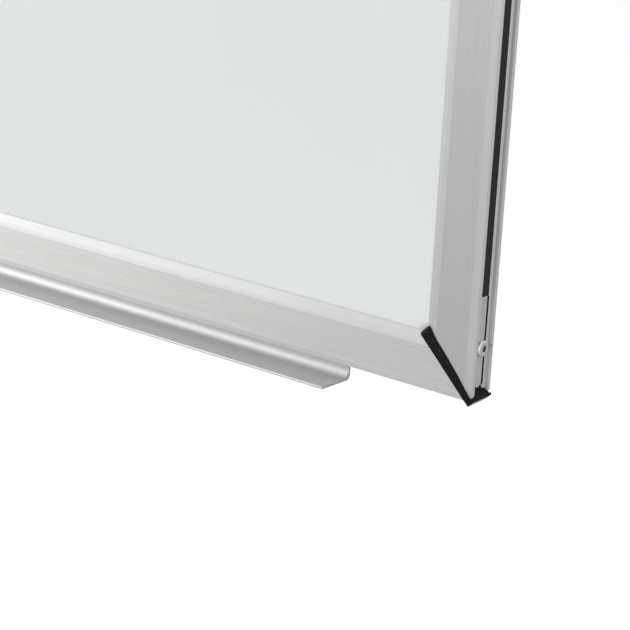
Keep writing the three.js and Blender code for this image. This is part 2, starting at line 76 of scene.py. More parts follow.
# The rail's section: u runs inwards from the rail's outer side, v back from its face. A pair
# is a width and a depth.
FACE_WIDTH = 27.4
FRAME_DEPTH = 17
WALL = 1.4
OUTER_BEVEL = (3.4, 1.08)
OUTER_BULGE = 0.03
INNER_BEVEL = (6.4, 2.65)
INNER_BULGE = 0.55
LIP_TIP = (1.2, 0.5)
SHADOW_STEP = (0.12, 0.3)
CORNER_ROUND = 0.5
NOSE_BACK = 5.2
NOSE_LEAN = 0.8
CHANNEL_LIP = 1.2
CHANNEL_FLOOR = 6.6
CHANNEL_FRONT = 4
FLANGE_SETBACK = 2.5
FLANGE_FRONT = 13.3
REAR_LIP_FRONT = 15
REAR_LIP_SETBACK = 0.5
CHAMBER_WALL = 1.2
CHAMBER_WIDTH = 6.8
WEB = 1.2
PANEL_SEAT = 3.3
PANEL_BACK = 12.32
REAR_FLANGE = (9.2, 1.2)
SIDE_GROOVE = (0.5, 0.16)
NOSE_GROOVES = 3
RIB_PITCH = 1.15
RIB_DEPTH = 0.1
MITRE_SETBACK = 1.2
NOSE_TIP_ROUND = 1.1
REAR_END = 2.7
BEVEL_STEPS = 24
ROUND_STEPS = 6
STEPS_PER_RIB = 6

# What sits in the channels
SCREW_FROM_CORNER = 24
SCREW_DEPTH = 9.35
NOTCH = (3, 1.3)
BAR_START = 4.9
BAR_LENGTH = 43.6
BAR_WIDTH = 5.1
BAR_THICKNESS = 1.4
BAR_SETBACK = 2.4
BAR_EDGE_ROUND = 0.22
# The seat's rib is a black filler in the slit beside each plate, standing in for the shade there
SEAT_RIB_SPAN = (11.93, 13.27)
SEAT_RIB_LEVELS = (2.44, 3.8)
SEAT_RIB_SHORTER = 1.2
SEAT_RIB_SHIFT = 0.4
FIT_GAP = 0.3
NOTCH_CLEARANCE = 0.1
HEAD_GAP = 0.06
STRIP_SETBACK = 2.6
STRIP_THICKNESS = 1.1
STRIP_BARB = 0.9
STRIP_END_GAP = 0.3

# Values that follow from the ones above
INNER_BEVEL_START = FACE_WIDTH - INNER_BEVEL[0]
CHAMBER_START = CHANNEL_FLOOR + CHAMBER_WALL
CHAMBER_END = CHAMBER_START + CHAMBER_WIDTH
GROOVE_FLOOR = CHAMBER_END + WEB
BACK_WALL_FRONT = FRAME_DEPTH - WALL

NODES = frame["nodes"]
SLOTS = {part["node"]: part["material_slot"] for part in frame["record"]["subparts"]}
BODIES = {node: body for body, nodes in frame["record"]["behaviour"]["bodies"].items()
          for node in nodes}

# The board's outer edges, from the rails themselves
HALF_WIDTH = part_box("right_rail")[1].x / MM
BOTTOM_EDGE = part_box("bottom_rail")[0].z / MM
TOP_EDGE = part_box("top_rail")[1].z / MM
MIDDLE = (BOTTOM_EDGE + TOP_EDGE) / 2

# Each side's turn about Y, the middle of its outer edge, its length and what lies at its ends
Side = namedtuple("Side", "turn x z length ends")
SIDES = {
    "top": Side(0, 0, TOP_EDGE, 2 * HALF_WIDTH, ("left", "right")),
    "right": Side(90, HALF_WIDTH, MIDDLE, TOP_EDGE - BOTTOM_EDGE, ("upper", "lower")),
    "bottom": Side(180, 0, BOTTOM_EDGE, 2 * HALF_WIDTH, ("right", "left")),
    "left": Side(270, -HALF_WIDTH, MIDDLE, TOP_EDGE - BOTTOM_EDGE, ("lower", "upper")),
}


def turned_frame(turn, x, z):
    """A frame turned about Y, in degrees, with its origin at x and z."""
    return (Matrix.Translation((x * MM, 0, z * MM))
            @ Matrix.Rotation(math.radians(turn), 4, "Y"))


def side_matrix(side):
    """The frame in which a side's pieces are drawn: its outer edge lies up, at z = 0, along x."""
    return turned_frame(SIDES[side].turn, SIDES[side].x, SIDES[side].z)


# Outlines

def arc(centre, radius, start, end, steps=ROUND_STEPS):
    """Points round a centre from one angle to another, in degrees."""
    turns = [math.radians(start + (end - start) * i / steps) for i in range(steps + 1)]
    return [(centre[0] + radius * math.cos(t), centre[1] + radius * math.sin(t)) for t in turns]


def bow(start, end, bulge):
    """A shallow outward bow between two points."""
    da, db = end[0] - start[0], end[1] - start[1]
    length = math.hypot(da, db)
    points = []
    for i in range(BEVEL_STEPS + 1):
        share = i / BEVEL_STEPS
        rise = 4 * bulge * share * (1 - share)
        points.append((start[0] + da * share + rise * db / length,
                       start[1] + db * share - rise * da / length))
    return points


def grooved(start, end, count, width, depth):
    """Evenly spaced V grooves along a straight stretch."""
    da, db = end[0] - start[0], end[1] - start[1]
    length = math.hypot(da, db)
    half = width / 2 / length
    points = [start]
    for i in range(1, count + 1):
        middle = i / (count + 1)
        for share, sink in ((middle - half, 0), (middle, depth), (middle + half, 0)):
            points.append((start[0] + da * share + sink * db / length,
                           start[1] + db * share - sink * da / length))
    return points + [end]


def ribbed(start_u, end_u):
    """The flat of the face, with its fine lengthwise ribs."""
    ribs = round(abs(end_u - start_u) / RIB_PITCH)
    steps = ribs * STEPS_PER_RIB
    points = []
    for i in range(steps + 1):
        share = i / steps
        sink = RIB_DEPTH * (1 - math.cos(2 * math.pi * ribs * share)) / 2
        points.append((start_u + (end_u - start_u) * share, sink))
    return points


def bevel_points():
    """The inner bevel, from the rail's inner edge to the step beside the flat."""
    return bow((FACE_WIDTH, INNER_BEVEL[1]), (INNER_BEVEL_START, SHADOW_STEP[1]), -INNER_BULGE)


def bevel_level(u):
    """How far back the face lies at u."""
    points = bevel_points()
    if u <= INNER_BEVEL_START:
        return 0
    for (ua, va), (ub, vb) in zip(points, points[1:]):
        if ub <= u <= ua:
            return va + (vb - va) * (u - ua) / (ub - ua)
    return INNER_BEVEL[1]


def rail_outline():
    """The rail's section: its outline and the chamber inside it."""
    step, step_depth = SHADOW_STEP
    r = CORNER_ROUND
    side_top = OUTER_BEVEL[1] + r
    face = [
        *bevel_points(),
        (INNER_BEVEL_START - step, step_depth),
        *ribbed(INNER_BEVEL_START - step, OUTER_BEVEL[0]),
        *bow((OUTER_BEVEL[0], 0), (r, OUTER_BEVEL[1]), -OUTER_BULGE)[1:],
        *arc((r, side_top), r, -90, -180)[1:-1],
    ]
    nose = [
        *grooved((0, side_top), (NOSE_LEAN, NOSE_BACK - r), NOSE_GROOVES, *SIDE_GROOVE),
        *arc((NOSE_LEAN + r, NOSE_BACK - r), r, 180, 90)[1:],
        (NOSE_LEAN + CHANNEL_LIP, NOSE_BACK),
    ]
    channel = [
        (NOSE_LEAN + CHANNEL_LIP, CHANNEL_FRONT),
        (CHANNEL_FLOOR, CHANNEL_FRONT),
        (CHANNEL_FLOOR, BACK_WALL_FRONT),
        (FLANGE_SETBACK + CHANNEL_LIP, BACK_WALL_FRONT),
        (FLANGE_SETBACK + CHANNEL_LIP, FLANGE_FRONT),
    ]
    lip_u, lip_v = REAR_LIP_SETBACK, REAR_LIP_FRONT
    rear_lip = [
        *arc((FLANGE_SETBACK + r, FLANGE_FRONT + r), r, 270, 180),
        (FLANGE_SETBACK, lip_v),
        *arc((lip_u + r / 2, lip_v + r / 2), r / 2, 270, 180),
        *arc((lip_u + r / 2, FRAME_DEPTH - r / 2), r / 2, 180, 90),
        (GROOVE_FLOOR, FRAME_DEPTH),
    ]
    reach, thickness = REAR_FLANGE
    tip_width, tip_height = LIP_TIP
    panel_groove = [
        (GROOVE_FLOOR, PANEL_BACK + FIT_GAP + thickness),
        (GROOVE_FLOOR + reach, PANEL_BACK + FIT_GAP + thickness),
        (GROOVE_FLOOR + reach, PANEL_BACK + FIT_GAP),
        (GROOVE_FLOOR, PANEL_BACK + FIT_GAP),
        (GROOVE_FLOOR, WALL),
        (INNER_BEVEL_START - step, WALL),
        (FACE_WIDTH - tip_width, INNER_BEVEL[1] + tip_height),
        (FACE_WIDTH, INNER_BEVEL[1] + tip_height),
    ]
    chamber = [(CHAMBER_START, WALL), (CHAMBER_END, WALL),
               (CHAMBER_END, BACK_WALL_FRONT), (CHAMBER_START, BACK_WALL_FRONT)]
    return [[*face, *nose, *channel, *rear_lip, *panel_groove], chamber]


# Meshes

# Angles between faces, in degrees: beyond the first an edge is shaded sharp, and beyond the
# second it is one that soften rounds
SMOOTH_ANGLE = 30
SHARP_ANGLE = 40
LATHE_STEPS = 64


def finish_mesh(name, bm, matrix):
    """Turns a bmesh drawn in millimetres into an object in the frame."""
    bmesh.ops.recalc_face_normals(bm, faces=bm.faces)
    mesh = bpy.data.meshes.new(name)
    bm.to_mesh(mesh)
    bm.free()
    mesh.transform(matrix @ Matrix.Scale(MM, 4))
    mesh.polygons.foreach_set("use_smooth", [True] * len(mesh.polygons))
    mesh.set_sharp_from_angle(angle=math.radians(SMOOTH_ANGLE))
    piece = bpy.data.objects.new(name, mesh)
    bpy.context.scene.collection.objects.link(piece)
    return piece


def prism(loops, place):
    """A bmesh extruded from an outline and its holes, from end -1 to end 1. Its UV map tells
    how far around the section and how far along the length each corner lies, in millimetres."""
    bm = bmesh.new()
    uv = bm.loops.layers.uv.new("grain")
    sides = []
    for loop in loops:
        near = [bm.verts.new(place(a, b, -1)) for a, b in loop]
        far = [bm.verts.new(place(a, b, 1)) for a, b in loop]
        sides.append((near, far))
        around = 0
        for i, point in enumerate(loop):
            k = (i + 1) % len(loop)
            step = math.dist(point, loop[k])
            face = bm.faces.new((near[i], near[k], far[k], far[i]))
            spans = (around, around + step, around + step, around)
            for corner, span in zip(face.loops, spans):
                corner[uv].uv = (span, corner.vert.co.x)
            around += step
    flat = [[Vector((a, b, 0)) for a, b in loop] for loop in loops]
    for pick in (0, 1):
        ring = [vert for pair in sides for vert in pair[pick]]
        for triangle in tessellate_polygon(flat):
            face = bm.faces.new([ring[i] for i in triangle])
            for corner in face.loops:
                corner[uv].uv = (corner.vert.co.y, corner.vert.co.z)
    return bm


def soften(bm, width, segments=3):
    """Rounds every sharp edge."""
    bmesh.ops.recalc_face_normals(bm, faces=bm.faces)
    bmesh.ops.dissolve_limit(bm, angle_limit=math.radians(1), verts=bm.verts, edges=bm.edges)
    sharp = [edge for edge in bm.edges if len(edge.link_faces) == 2
             and edge.calc_face_angle() > math.radians(SHARP_ANGLE)]
    bmesh.ops.bevel(bm, geom=sharp, offset=width, segments=segments, profile=0.5,
                    affect="EDGES", clamp_overlap=True)
    return bm


def carve(piece, cutters, operation="DIFFERENCE"):
    """Applies a boolean with each cutter and deletes the cutters."""
    for cutter in cutters:
        modifier = piece.modifiers.new("carve", "BOOLEAN")
        modifier.operation = operation
        modifier.solver = "EXACT"
        modifier.object = cutter
    depsgraph = bpy.context.evaluated_depsgraph_get()
    mesh = bpy.data.meshes.new_from_object(piece.evaluated_get(depsgraph))
    piece.modifiers.clear()
    piece.data = mesh
    for cutter in cutters:
        bpy.data.objects.remove(cutter)
    return piece


def lathe(profile):
    """A closed bmesh turned about Z from (radius, height) points that start and end on it."""
    bm = bmesh.new()
    turns = [2 * math.pi * i / LATHE_STEPS for i in range(LATHE_STEPS)]
    rings = []
    for radius, height in profile:
        if radius == 0:
            rings.append([bm.verts.new((0, 0, height))] * LATHE_STEPS)
        else:
            rings.append([bm.verts.new((radius * math.cos(turn), radius * math.sin(turn), height))
                          for turn in turns])
    for low, high in zip(rings, rings[1:]):
        for i in range(LATHE_STEPS):
            k = (i + 1) % LATHE_STEPS
            corners = [low[i], low[k], high[k], high[i]]
            bm.faces.new(list(dict.fromkeys(corners)))
    return bm


def faces_as_drawn(piece, matrix):
    """Each face with its middle and its normal, in the frame and the units it was drawn in."""
    back = (matrix @ Matrix.Scale(MM, 4)).inverted()
    turn = back.to_3x3()
    for face in piece.data.polygons:
        yield face, back @ face.center, (turn @ face.normal).normalized()


def stand_in(piece, node):
    """The piece shows in place of a CAD node, on its body and with its material."""
    piece.data.materials.clear()
    piece.data.materials.append(SPECIAL_LOOKS.get(node.split("_")[-1], LOOKS[SLOTS[node]]))
    even = piece.modifiers.new("even_shading", "WEIGHTED_NORMAL")
    even.keep_sharp = True
    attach(piece, BODIES[node])
    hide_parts(node)


# Rails, strips and bars

def mitre_end(u, v):
    """How far short of the corner the rail ends: a mitre with a rounded nose in front and a
    squared rear lip."""
    if v > FRAME_DEPTH / 2:
        return max(u + MITRE_SETBACK, REAR_END)
    past = max(0, NOSE_TIP_ROUND - u)
    return u + MITRE_SETBACK + NOSE_TIP_ROUND - math.sqrt(NOSE_TIP_ROUND ** 2 - past ** 2)


def rail_place(length):
    return lambda u, v, end: Vector((end * (length / 2 - mitre_end(u, v)),
                                     v - FRAME_DEPTH, -u))


def straight_place(middle, length):
    return lambda u, v, end: Vector((middle + end * length / 2, v - FRAME_DEPTH, -u))


def notch_cutter(x, matrix):
    width, depth = NOTCH
    v = REAR_LIP_FRONT
    loop = [(-width / 2, v - FLANGE_SETBACK), (width / 2, v - FLANGE_SETBACK), (width / 2, v),
            (0, v + depth), (-width / 2, v)]
    levels = {-1: NOTCH_CLEARANCE - FLANGE_SETBACK, 1: NOTCH_CLEARANCE}
    bm = prism([loop], lambda a, b, end: Vector((x + a, b - FRAME_DEPTH, levels[end])))
    return finish_mesh("notch_cutter", bm, matrix)


def make_rail(side):
    matrix, length = side_matrix(side), SIDES[side].length
    rail = finish_mesh(f"{side}_rail_extrusion", prism(rail_outline(), rail_place(length)), matrix)
    screw_x = length / 2 - SCREW_FROM_CORNER
    carve(rail, [notch_cutter(x, matrix) for x in (-screw_x, screw_x)])
    stand_in(rail, f"{side}_rail")


def make_strip(side):
    length = SIDES[side].length - 2 * (BAR_START + BAR_LENGTH + STRIP_END_GAP)
    front, rear = NOSE_BACK + FIT_GAP, FLANGE_FRONT - FIT_GAP
    top, under = STRIP_SETBACK, STRIP_SETBACK + STRIP_THICKNESS
    front_hook = NOSE_LEAN + CHANNEL_LIP + FIT_GAP
    rear_hook = FLANGE_SETBACK + CHANNEL_LIP + FIT_GAP
    thick, barb = STRIP_THICKNESS, FIT_GAP + STRIP_BARB
    loop = [
        (top, front), (top, rear), (rear_hook, rear), (rear_hook, rear + barb),
        (rear_hook + thick, rear), (rear_hook + thick, rear - thick), (under, rear - thick),
        (under, front + thick), (front_hook + 2 * thick, front + thick),
        (front_hook + 2 * thick, front), (front_hook, front - barb), (front_hook, front),
    ]
    bm = prism([loop], straight_place(0, length))
    stand_in(finish_mesh(f"{side}_strip_profile", bm, side_matrix(side)),
             f"{side}_infill_strip")


def make_bar(side, end, sign):
    radius = BAR_WIDTH / 2
    points = [(-BAR_LENGTH / 2, -radius),
              *arc((BAR_LENGTH / 2 - radius, 0), radius, -90, 90, 4 * ROUND_STEPS),
              (-BAR_LENGTH / 2, radius)]
    middle = SIDES[side].length / 2 - BAR_START - BAR_LENGTH / 2
    level = -BAR_SETBACK - BAR_THICKNESS / 2
    bm = prism([points], lambda along, across, up: Vector((
        sign * (middle + along), SCREW_DEPTH - FRAME_DEPTH + sign * across,
        level + up * BAR_THICKNESS / 2)))
    soften(bm, BAR_EDGE_ROUND)
    node = f"{side}_locking_bar_{end}"
    stand_in(finish_mesh(f"{node}_plate", bm, side_matrix(side)), node)


def make_shade_rib(side, end, sign):
    """A black rib on the plastic seat that fills the slit between the plate and the flange: a dark
    filler standing in for the shade in the slit.
    """
    (front, rear), (top, under) = SEAT_RIB_SPAN, SEAT_RIB_LEVELS
    middle = sign * (SIDES[side].length / 2 - BAR_START - BAR_LENGTH / 2 - SEAT_RIB_SHIFT)
    length = BAR_LENGTH - SEAT_RIB_SHORTER
    loop = [(top, front), (top, rear), (under, rear), (under, front)]
    name = f"{side}_locking_seat_{end}_rib"
    rib = finish_mesh(name, prism([loop], straight_place(middle, length)), side_matrix(side))
    rib.data.materials.append(LOOKS["black_plastic"])
    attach(rib, "board")


# Screws

# Each has a pan head, a shank and a hexagon socket in a shallow dish. DISH_SHARES give the
# dish's radii in the socket's widths, and TIP_SHARE how far the shank narrows at its tip.
LOCKING_SCREW = {"diameter": 8, "height": 2, "round": 1.1, "shank": 4, "length": 11.5,
                 "socket": 3, "depth": 1.3}
HANGER_SCREW = {"diameter": 6.4, "height": 0.9, "round": 0.6, "shank": 2.6, "length": 2.4,
                "socket": 2, "depth": 0.55}
HEAD_DISH = 0.06
HEAD_CHAMFER = 0.15
HEAD_ROUND_END = 82
HEAD_ROUND_STEPS = 10
DISH_SHARES = (0.78, 0.66)
TIP_SHARE = 0.75
HEX_CORNER = 1 / math.cos(math.pi / 6)

# The recess's walls are the steep faces that lie within the socket's corners and below its rim,
# give or take these margins; they are painted dark, as painted shade
RECESS_SIDE_MARGIN = 0.02
RECESS_RIM_MARGIN = 0.05
STEEP = 0.5


def socket_corner(size):
    return size["socket"] / 2 * HEX_CORNER


def make_screw(name, size, matrix):
    """A pan-head screw, its axis local Z and its head's seat at z = 0."""
    radius, edge, height = size["diameter"] / 2, size["round"], size["height"]
    shank, length = size["shank"] / 2, size["length"]
    tip = shank * TIP_SHARE
    profile = [
        (0, -length), (tip, -length), (shank, shank - tip - length), (shank, 0),
        (radius - HEAD_CHAMFER, 0), (radius, HEAD_CHAMFER),
        *arc((radius - edge, height - edge), edge, 0, HEAD_ROUND_END, HEAD_ROUND_STEPS),
        (size["socket"] * DISH_SHARES[0], height),
        (size["socket"] * DISH_SHARES[1], height - HEAD_DISH), (0, height - HEAD_DISH),
    ]
    screw = finish_mesh(name, lathe(profile), matrix)
    corner = socket_corner(size)
    cutter = bmesh.new()
    bmesh.ops.create_cone(cutter, cap_ends=True, segments=6, radius1=corner, radius2=corner,
                          depth=2 * size["depth"],
                          matrix=Matrix.Translation((0, 0, height)))
    return carve(screw, [finish_mesh("socket_cutter", cutter, matrix)])


def paint_recess_shade(screw, size, matrix):
    """Paints the recess's walls dark inside: a painted shade where light doesn't reach."""
    reach = socket_corner(size) + RECESS_SIDE_MARGIN
    level = size["height"] - HEAD_DISH - RECESS_RIM_MARGIN
    screw.data.materials.append(RECESS_PAINTED_SHADE)
    for face, (x, y, z), normal in faces_as_drawn(screw, matrix):
        if abs(normal.z) < STEEP and 0 < z < level and math.hypot(x, y) < reach:
            face.material_index = len(screw.data.materials) - 1


def make_locking_screw(side, end, sign):
    x = sign * (SIDES[side].length / 2 - SCREW_FROM_CORNER)
    seat = (x, SCREW_DEPTH - FRAME_DEPTH, HEAD_GAP - BAR_SETBACK)
    matrix = side_matrix(side) @ Matrix.Translation(Vector(seat) * MM)
    node = f"{side}_locking_screw_{end}"
    screw = make_screw(f"{node}_turned", LOCKING_SCREW, matrix)
    stand_in(screw, node)
    paint_recess_shade(screw, LOCKING_SCREW, matrix)


# Pen tray

TRAY_FROM_CORNER = 74
TRAY_THICKNESS = 1.2
TRAY_WALL_FRONT = 5.6
TRAY_DROP = 8.6
TRAY_REACH = 14.4
TRAY_FILLET = 4
TRAY_OUTER_ROUND = 2.9
TRAY_BEAD = 0.7
TRAY_HEAD = 1.4
TRAY_FILLET_STEPS = 32
TRAY_BEAD_STEPS = 16
TRAY_OUTER_STEPS = 12


def make_tray():
    """The tray, whose head runs in the bottom rail's channel."""
    length = SIDES["bottom"].length - 2 * TRAY_FROM_CORNER
    head_top = FLANGE_SETBACK + CHANNEL_LIP + FIT_GAP
    toe_top = NOSE_LEAN + CHANNEL_LIP + FIT_GAP
    back = TRAY_WALL_FRONT + TRAY_THICKNESS
    head_back = BACK_WALL_FRONT - 2 * FIT_GAP
    floor_top, floor_under = TRAY_THICKNESS - TRAY_DROP, -TRAY_DROP
    outer = TRAY_OUTER_ROUND
    loop = [
        (head_top, back), (head_top, head_back), (head_top + TRAY_HEAD, head_back),
        (head_top + TRAY_HEAD, CHANNEL_FRONT + FIT_GAP), (toe_top, CHANNEL_FRONT + FIT_GAP),
        (toe_top, TRAY_WALL_FRONT),
        *arc((floor_top + TRAY_FILLET, TRAY_WALL_FRONT - TRAY_FILLET), TRAY_FILLET, 90, 180,
             TRAY_FILLET_STEPS),
        (floor_top, TRAY_BEAD - TRAY_REACH),
        *arc((floor_under + TRAY_BEAD, -TRAY_REACH), TRAY_BEAD, 0, -180, TRAY_BEAD_STEPS),
        *arc((floor_under + outer, back - outer), outer, 180, 90, TRAY_OUTER_STEPS),
    ]
    bm = prism([loop], straight_place(0, length))
    stand_in(finish_mesh("pen_tray_extrusion", bm, side_matrix("bottom")), "pen_tray")


# Corner connectors

# They are drawn for the top right corner, with the frame's outer corner at the origin: s runs
# inwards along the mitre, v back from the face and n across the mitre.
FIN_THICKNESS = 1.2
FIN_PROUD = 0.9
FIN_LEAN = 0.45
FIN_ROUND_LENGTH = 2.6
FIN_ROUND_DEPTH = 1.3
FIN_BACK = FRAME_DEPTH - FIT_GAP
FIN_EDGE_ROUND = 0.2
FIN_EDGE_STEPS = 24
FIN_RIM_WIDTH = 2.9
FIN_RIM_DEPTH = 0.7
FIN_RIM_END = 0.5
CAP_PROUD = 0.6
CAP_LIFT = 0.05
CAP_OVERHANG = 1.4
CAP_END_ROUND = 2.1
CAP_CORNER_ROUNDS = (1.6, 1.1)
CAP_EDGE_ROUND = 0.3
CAP_SLOPE = 0.2
CAP_RIDGE_PLACE = -1.95
CAP_RIDGE_INSET = 0.55
CAP_RIDGE_HALF = 0.12
CAP_RIDGE_RISE = 0.05
CAP_STRAIGHT_STEPS = 24
CAP_END_STEPS = 14
# How far the strip reaches to either side of the mitre, at even steps along it: measured in the
# photograph through the fitted camera, and evened out
CAP_STEP = 4
CAP_SIDES = [(1.70, 1.66), (1.88, 1.84), (2.25, 1.86), (2.66, 1.87), (3.02, 1.93), (3.27, 1.99),
             (3.45, 2.00), (3.60, 2.05), (3.65, 2.15), (3.69, 2.23), (3.70, 2.28), (3.70, 2.30)]
LEG_LENGTH = 44
LEG_LEAD_IN = 2.5
ROOT_TWO = math.sqrt(2)
CAP_REACH = (FACE_WIDTH + CAP_OVERHANG) * ROOT_TWO


def from_mitre(s, v, n):
    """A place given along and across the mitre, in the corner's own frame."""
    return Vector(((n - s) / ROOT_TWO, v - FRAME_DEPTH, -(n + s) / ROOT_TWO))


def cap_reaches(s):
    """How far the strip reaches to its broad and its narrow side at s."""
    place = max(s, 0) / CAP_STEP
    i = int(place)
    reaches = []
    for side, corner in enumerate(CAP_CORNER_ROUNDS):
        full = CAP_SIDES[i][side] + (CAP_SIDES[i + 1][side] - CAP_SIDES[i][side]) * (place - i)
        past = min(max(0, s - CAP_REACH + corner), corner)
        reaches.append(full - corner + math.sqrt(corner ** 2 - past ** 2))
    return reaches


def cap_top(s):
    """The strip's level at s: flat, then round at its inner end."""
    past = min(max(0, s - CAP_REACH + CAP_END_ROUND), CAP_END_ROUND)
    return -CAP_PROUD + CAP_END_ROUND - math.sqrt(CAP_END_ROUND ** 2 - past ** 2)


def cap_stations():
    """Places along the strip, closer together towards its rounded inner end."""
    start, bend = -FIN_PROUD, CAP_REACH - CAP_END_ROUND
    straight = [start + (bend - start) * i / CAP_STRAIGHT_STEPS
                for i in range(CAP_STRAIGHT_STEPS + 1)]
    curved = [bend + CAP_END_ROUND * math.sin(math.pi / 2 * i / CAP_END_STEPS)
              for i in range(1, CAP_END_STEPS + 1)]
    return straight + curved


def cap_section(s):
    """Across the strip: a flat top that slopes away on the broad side, past a faint ridge."""
    (broad, narrow), top, edge = cap_reaches(s), cap_top(s), CAP_EDGE_ROUND
    feet = [bevel_level((s - reach) / ROOT_TWO) - CAP_LIFT for reach in (broad, narrow)]
    ridge = max(CAP_RIDGE_PLACE, CAP_RIDGE_INSET - broad)
    shoulder = top + CAP_SLOPE * (broad - edge + ridge)
    return [
        (-broad, feet[0]),
        *arc((edge - broad, shoulder + edge), edge, 180, 270),
        (ridge - CAP_RIDGE_HALF, top + CAP_SLOPE * CAP_RIDGE_HALF),
        (ridge, top - CAP_RIDGE_RISE), (ridge + CAP_RIDGE_HALF, top),
        *arc((narrow - edge, top + edge), edge, 270, 360),
        (narrow, feet[1]),
    ]


def cap_mesh():
    bm = bmesh.new()
    rows = [[bm.verts.new(from_mitre(s, v, n)) for n, v in cap_section(s)]
            for s in cap_stations()]
    for one, two in zip(rows, rows[1:]):
        for i in range(len(one)):
            k = (i + 1) % len(one)
            bm.faces.new((one[i], one[k], two[k], two[i]))
    bm.faces.new(rows[0])
    bm.faces.new(rows[-1])
    return bm


def fin_edge():
    """The fin's outer edge from its straight part round to its back."""
    turns = [math.pi / 2 * i / FIN_EDGE_STEPS for i in range(FIN_EDGE_STEPS + 1)]
    return [(FIN_LEAN - FIN_PROUD + FIN_ROUND_DEPTH * (1 - math.cos(turn)),
             FIN_BACK - FIN_ROUND_LENGTH + FIN_ROUND_LENGTH * math.sin(turn)) for turn in turns]


def fin_mesh():
    seat, inner = GROOVE_FLOOR * ROOT_TWO, FACE_WIDTH * ROOT_TWO
    loop = [
        (-FIN_PROUD, -CAP_LIFT), (seat, -CAP_LIFT), (inner, -CAP_LIFT),
        (inner, PANEL_SEAT - FIT_GAP), (seat, PANEL_SEAT - FIT_GAP), (seat, FIN_BACK),
        *reversed(fin_edge()),
    ]
    bm = prism([loop], lambda s, v, end: from_mitre(s, v, end * FIN_THICKNESS / 2))
    return soften(bm, FIN_EDGE_ROUND, 2)


def rim_mesh():
    """The bead along the fin's outer edge."""
    outer = [(s, v) for s, v in fin_edge() if s < FIN_RIM_END]
    loop = [(-FIN_PROUD, -CAP_LIFT), (FIN_RIM_DEPTH - FIN_PROUD, -CAP_LIFT),
            *[(s + FIN_RIM_DEPTH, v) for s, v in outer], *reversed(outer)]
    return prism([loop], lambda s, v, end: from_mitre(s, v, end * FIN_RIM_WIDTH / 2))


def leg_mesh(swap):
    """One of the two legs that run in the rails' chambers."""
    low, high = WALL + FIT_GAP, BACK_WALL_FRONT - FIT_GAP
    middle, half = CHAMBER_START + CHAMBER_WIDTH / 2, CHAMBER_WIDTH / 2 - FIT_GAP
    loop = [(FIN_THICKNESS, low), (LEG_LENGTH - LEG_LEAD_IN, low),
            (LEG_LENGTH, low + LEG_LEAD_IN), (LEG_LENGTH, high - LEG_LEAD_IN),
            (LEG_LENGTH - LEG_LEAD_IN, high), (FIN_THICKNESS, high)]

    def place(along, v, end):
        u = middle + end * half
        a, b = -max(along, u - FIT_GAP), -u
        return Vector((b, v - FRAME_DEPTH, a)) if swap else Vector((a, v - FRAME_DEPTH, b))
    return prism([loop], place)


# Each corner's turn about Y and its place in X and Z
CORNERS = {
    "top_right": (0, HALF_WIDTH, TOP_EDGE),
    "bottom_right": (90, HALF_WIDTH, BOTTOM_EDGE),
    "bottom_left": (180, -HALF_WIDTH, BOTTOM_EDGE),
    "top_left": (270, -HALF_WIDTH, TOP_EDGE),
}


# Where the moulding is painted pale: the fin's outer rim, behind the strip and facing outwards,
# gets a painted sheen, and the strip's ridge towards its inner end a painted highlight
SHEEN_RIM_START = 1
SHEEN_RIM_REACH = 0.1
SHEEN_RIM_FACING = 1.2
HIGHLIGHT_RIDGE_START = 21
HIGHLIGHT_RIDGE_DEPTH = 0.1


# Gives the rim's faces a pale painted sheen and the ridge's faces a painted highlight
def show_painted_sheen_and_highlight(piece, matrix):
    piece.data.materials.append(RIM_PAINTED_SHEEN)
    piece.data.materials.append(RIDGE_PAINTED_HIGHLIGHT)
    for face, (x, y, z), normal in faces_as_drawn(piece, matrix):
        s, n, v = -(x + z) / ROOT_TWO, (x - z) / ROOT_TWO, y + FRAME_DEPTH
        outwards = normal.x + normal.z > SHEEN_RIM_FACING
        on_ridge = (abs(n - CAP_RIDGE_PLACE) < CAP_RIDGE_HALF
                    and v < cap_top(s) + HIGHLIGHT_RIDGE_DEPTH)
        if outwards and s < -SHEEN_RIM_REACH and v > SHEEN_RIM_START:
            face.material_index = 1
        elif on_ridge and s > HIGHLIGHT_RIDGE_START:
            face.material_index = 2


def make_connector(corner):
    matrix = turned_frame(*CORNERS[corner])
    piece = finish_mesh(f"corner_connector_{corner}_moulded", fin_mesh(), matrix)
    more = [finish_mesh(f"part_{i}", bm, matrix) for i, bm in
            enumerate((rim_mesh(), cap_mesh(), leg_mesh(False), leg_mesh(True)))]
    carve(piece, more, "UNION")
    stand_in(piece, f"corner_connector_{corner}")
    # Painted sheen on the fin's rim and a painted highlight on the strip's ridge
    show_painted_sheen_and_highlight(piece, matrix)


# Hanger screws

HANGER_SCREW_SPACING = 32


def make_hanger_screws():
    for hand in ("left", "right"):
        low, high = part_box(f"wall_hanger_{hand}")
        middle = (low.x + high.x) / 2 / MM
        for i, shift in enumerate((-1, 1)):
            node = f"hanger_screw_{hand}_{i + 1}"
            box_low, box_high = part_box(node)
            seat = Vector((middle + shift * HANGER_SCREW_SPACING / 2,
                           box_high.y / MM - HANGER_SCREW["height"],
                           (box_low.z + box_high.z) / 2 / MM))
            matrix = Matrix.Translation(seat * MM) @ Matrix.Rotation(math.radians(-90), 4, "X")
            screw = make_screw(f"{node}_turned", HANGER_SCREW, matrix)
            stand_in(screw, node)
            paint_recess_shade(screw, HANGER_SCREW, matrix)


# Materials

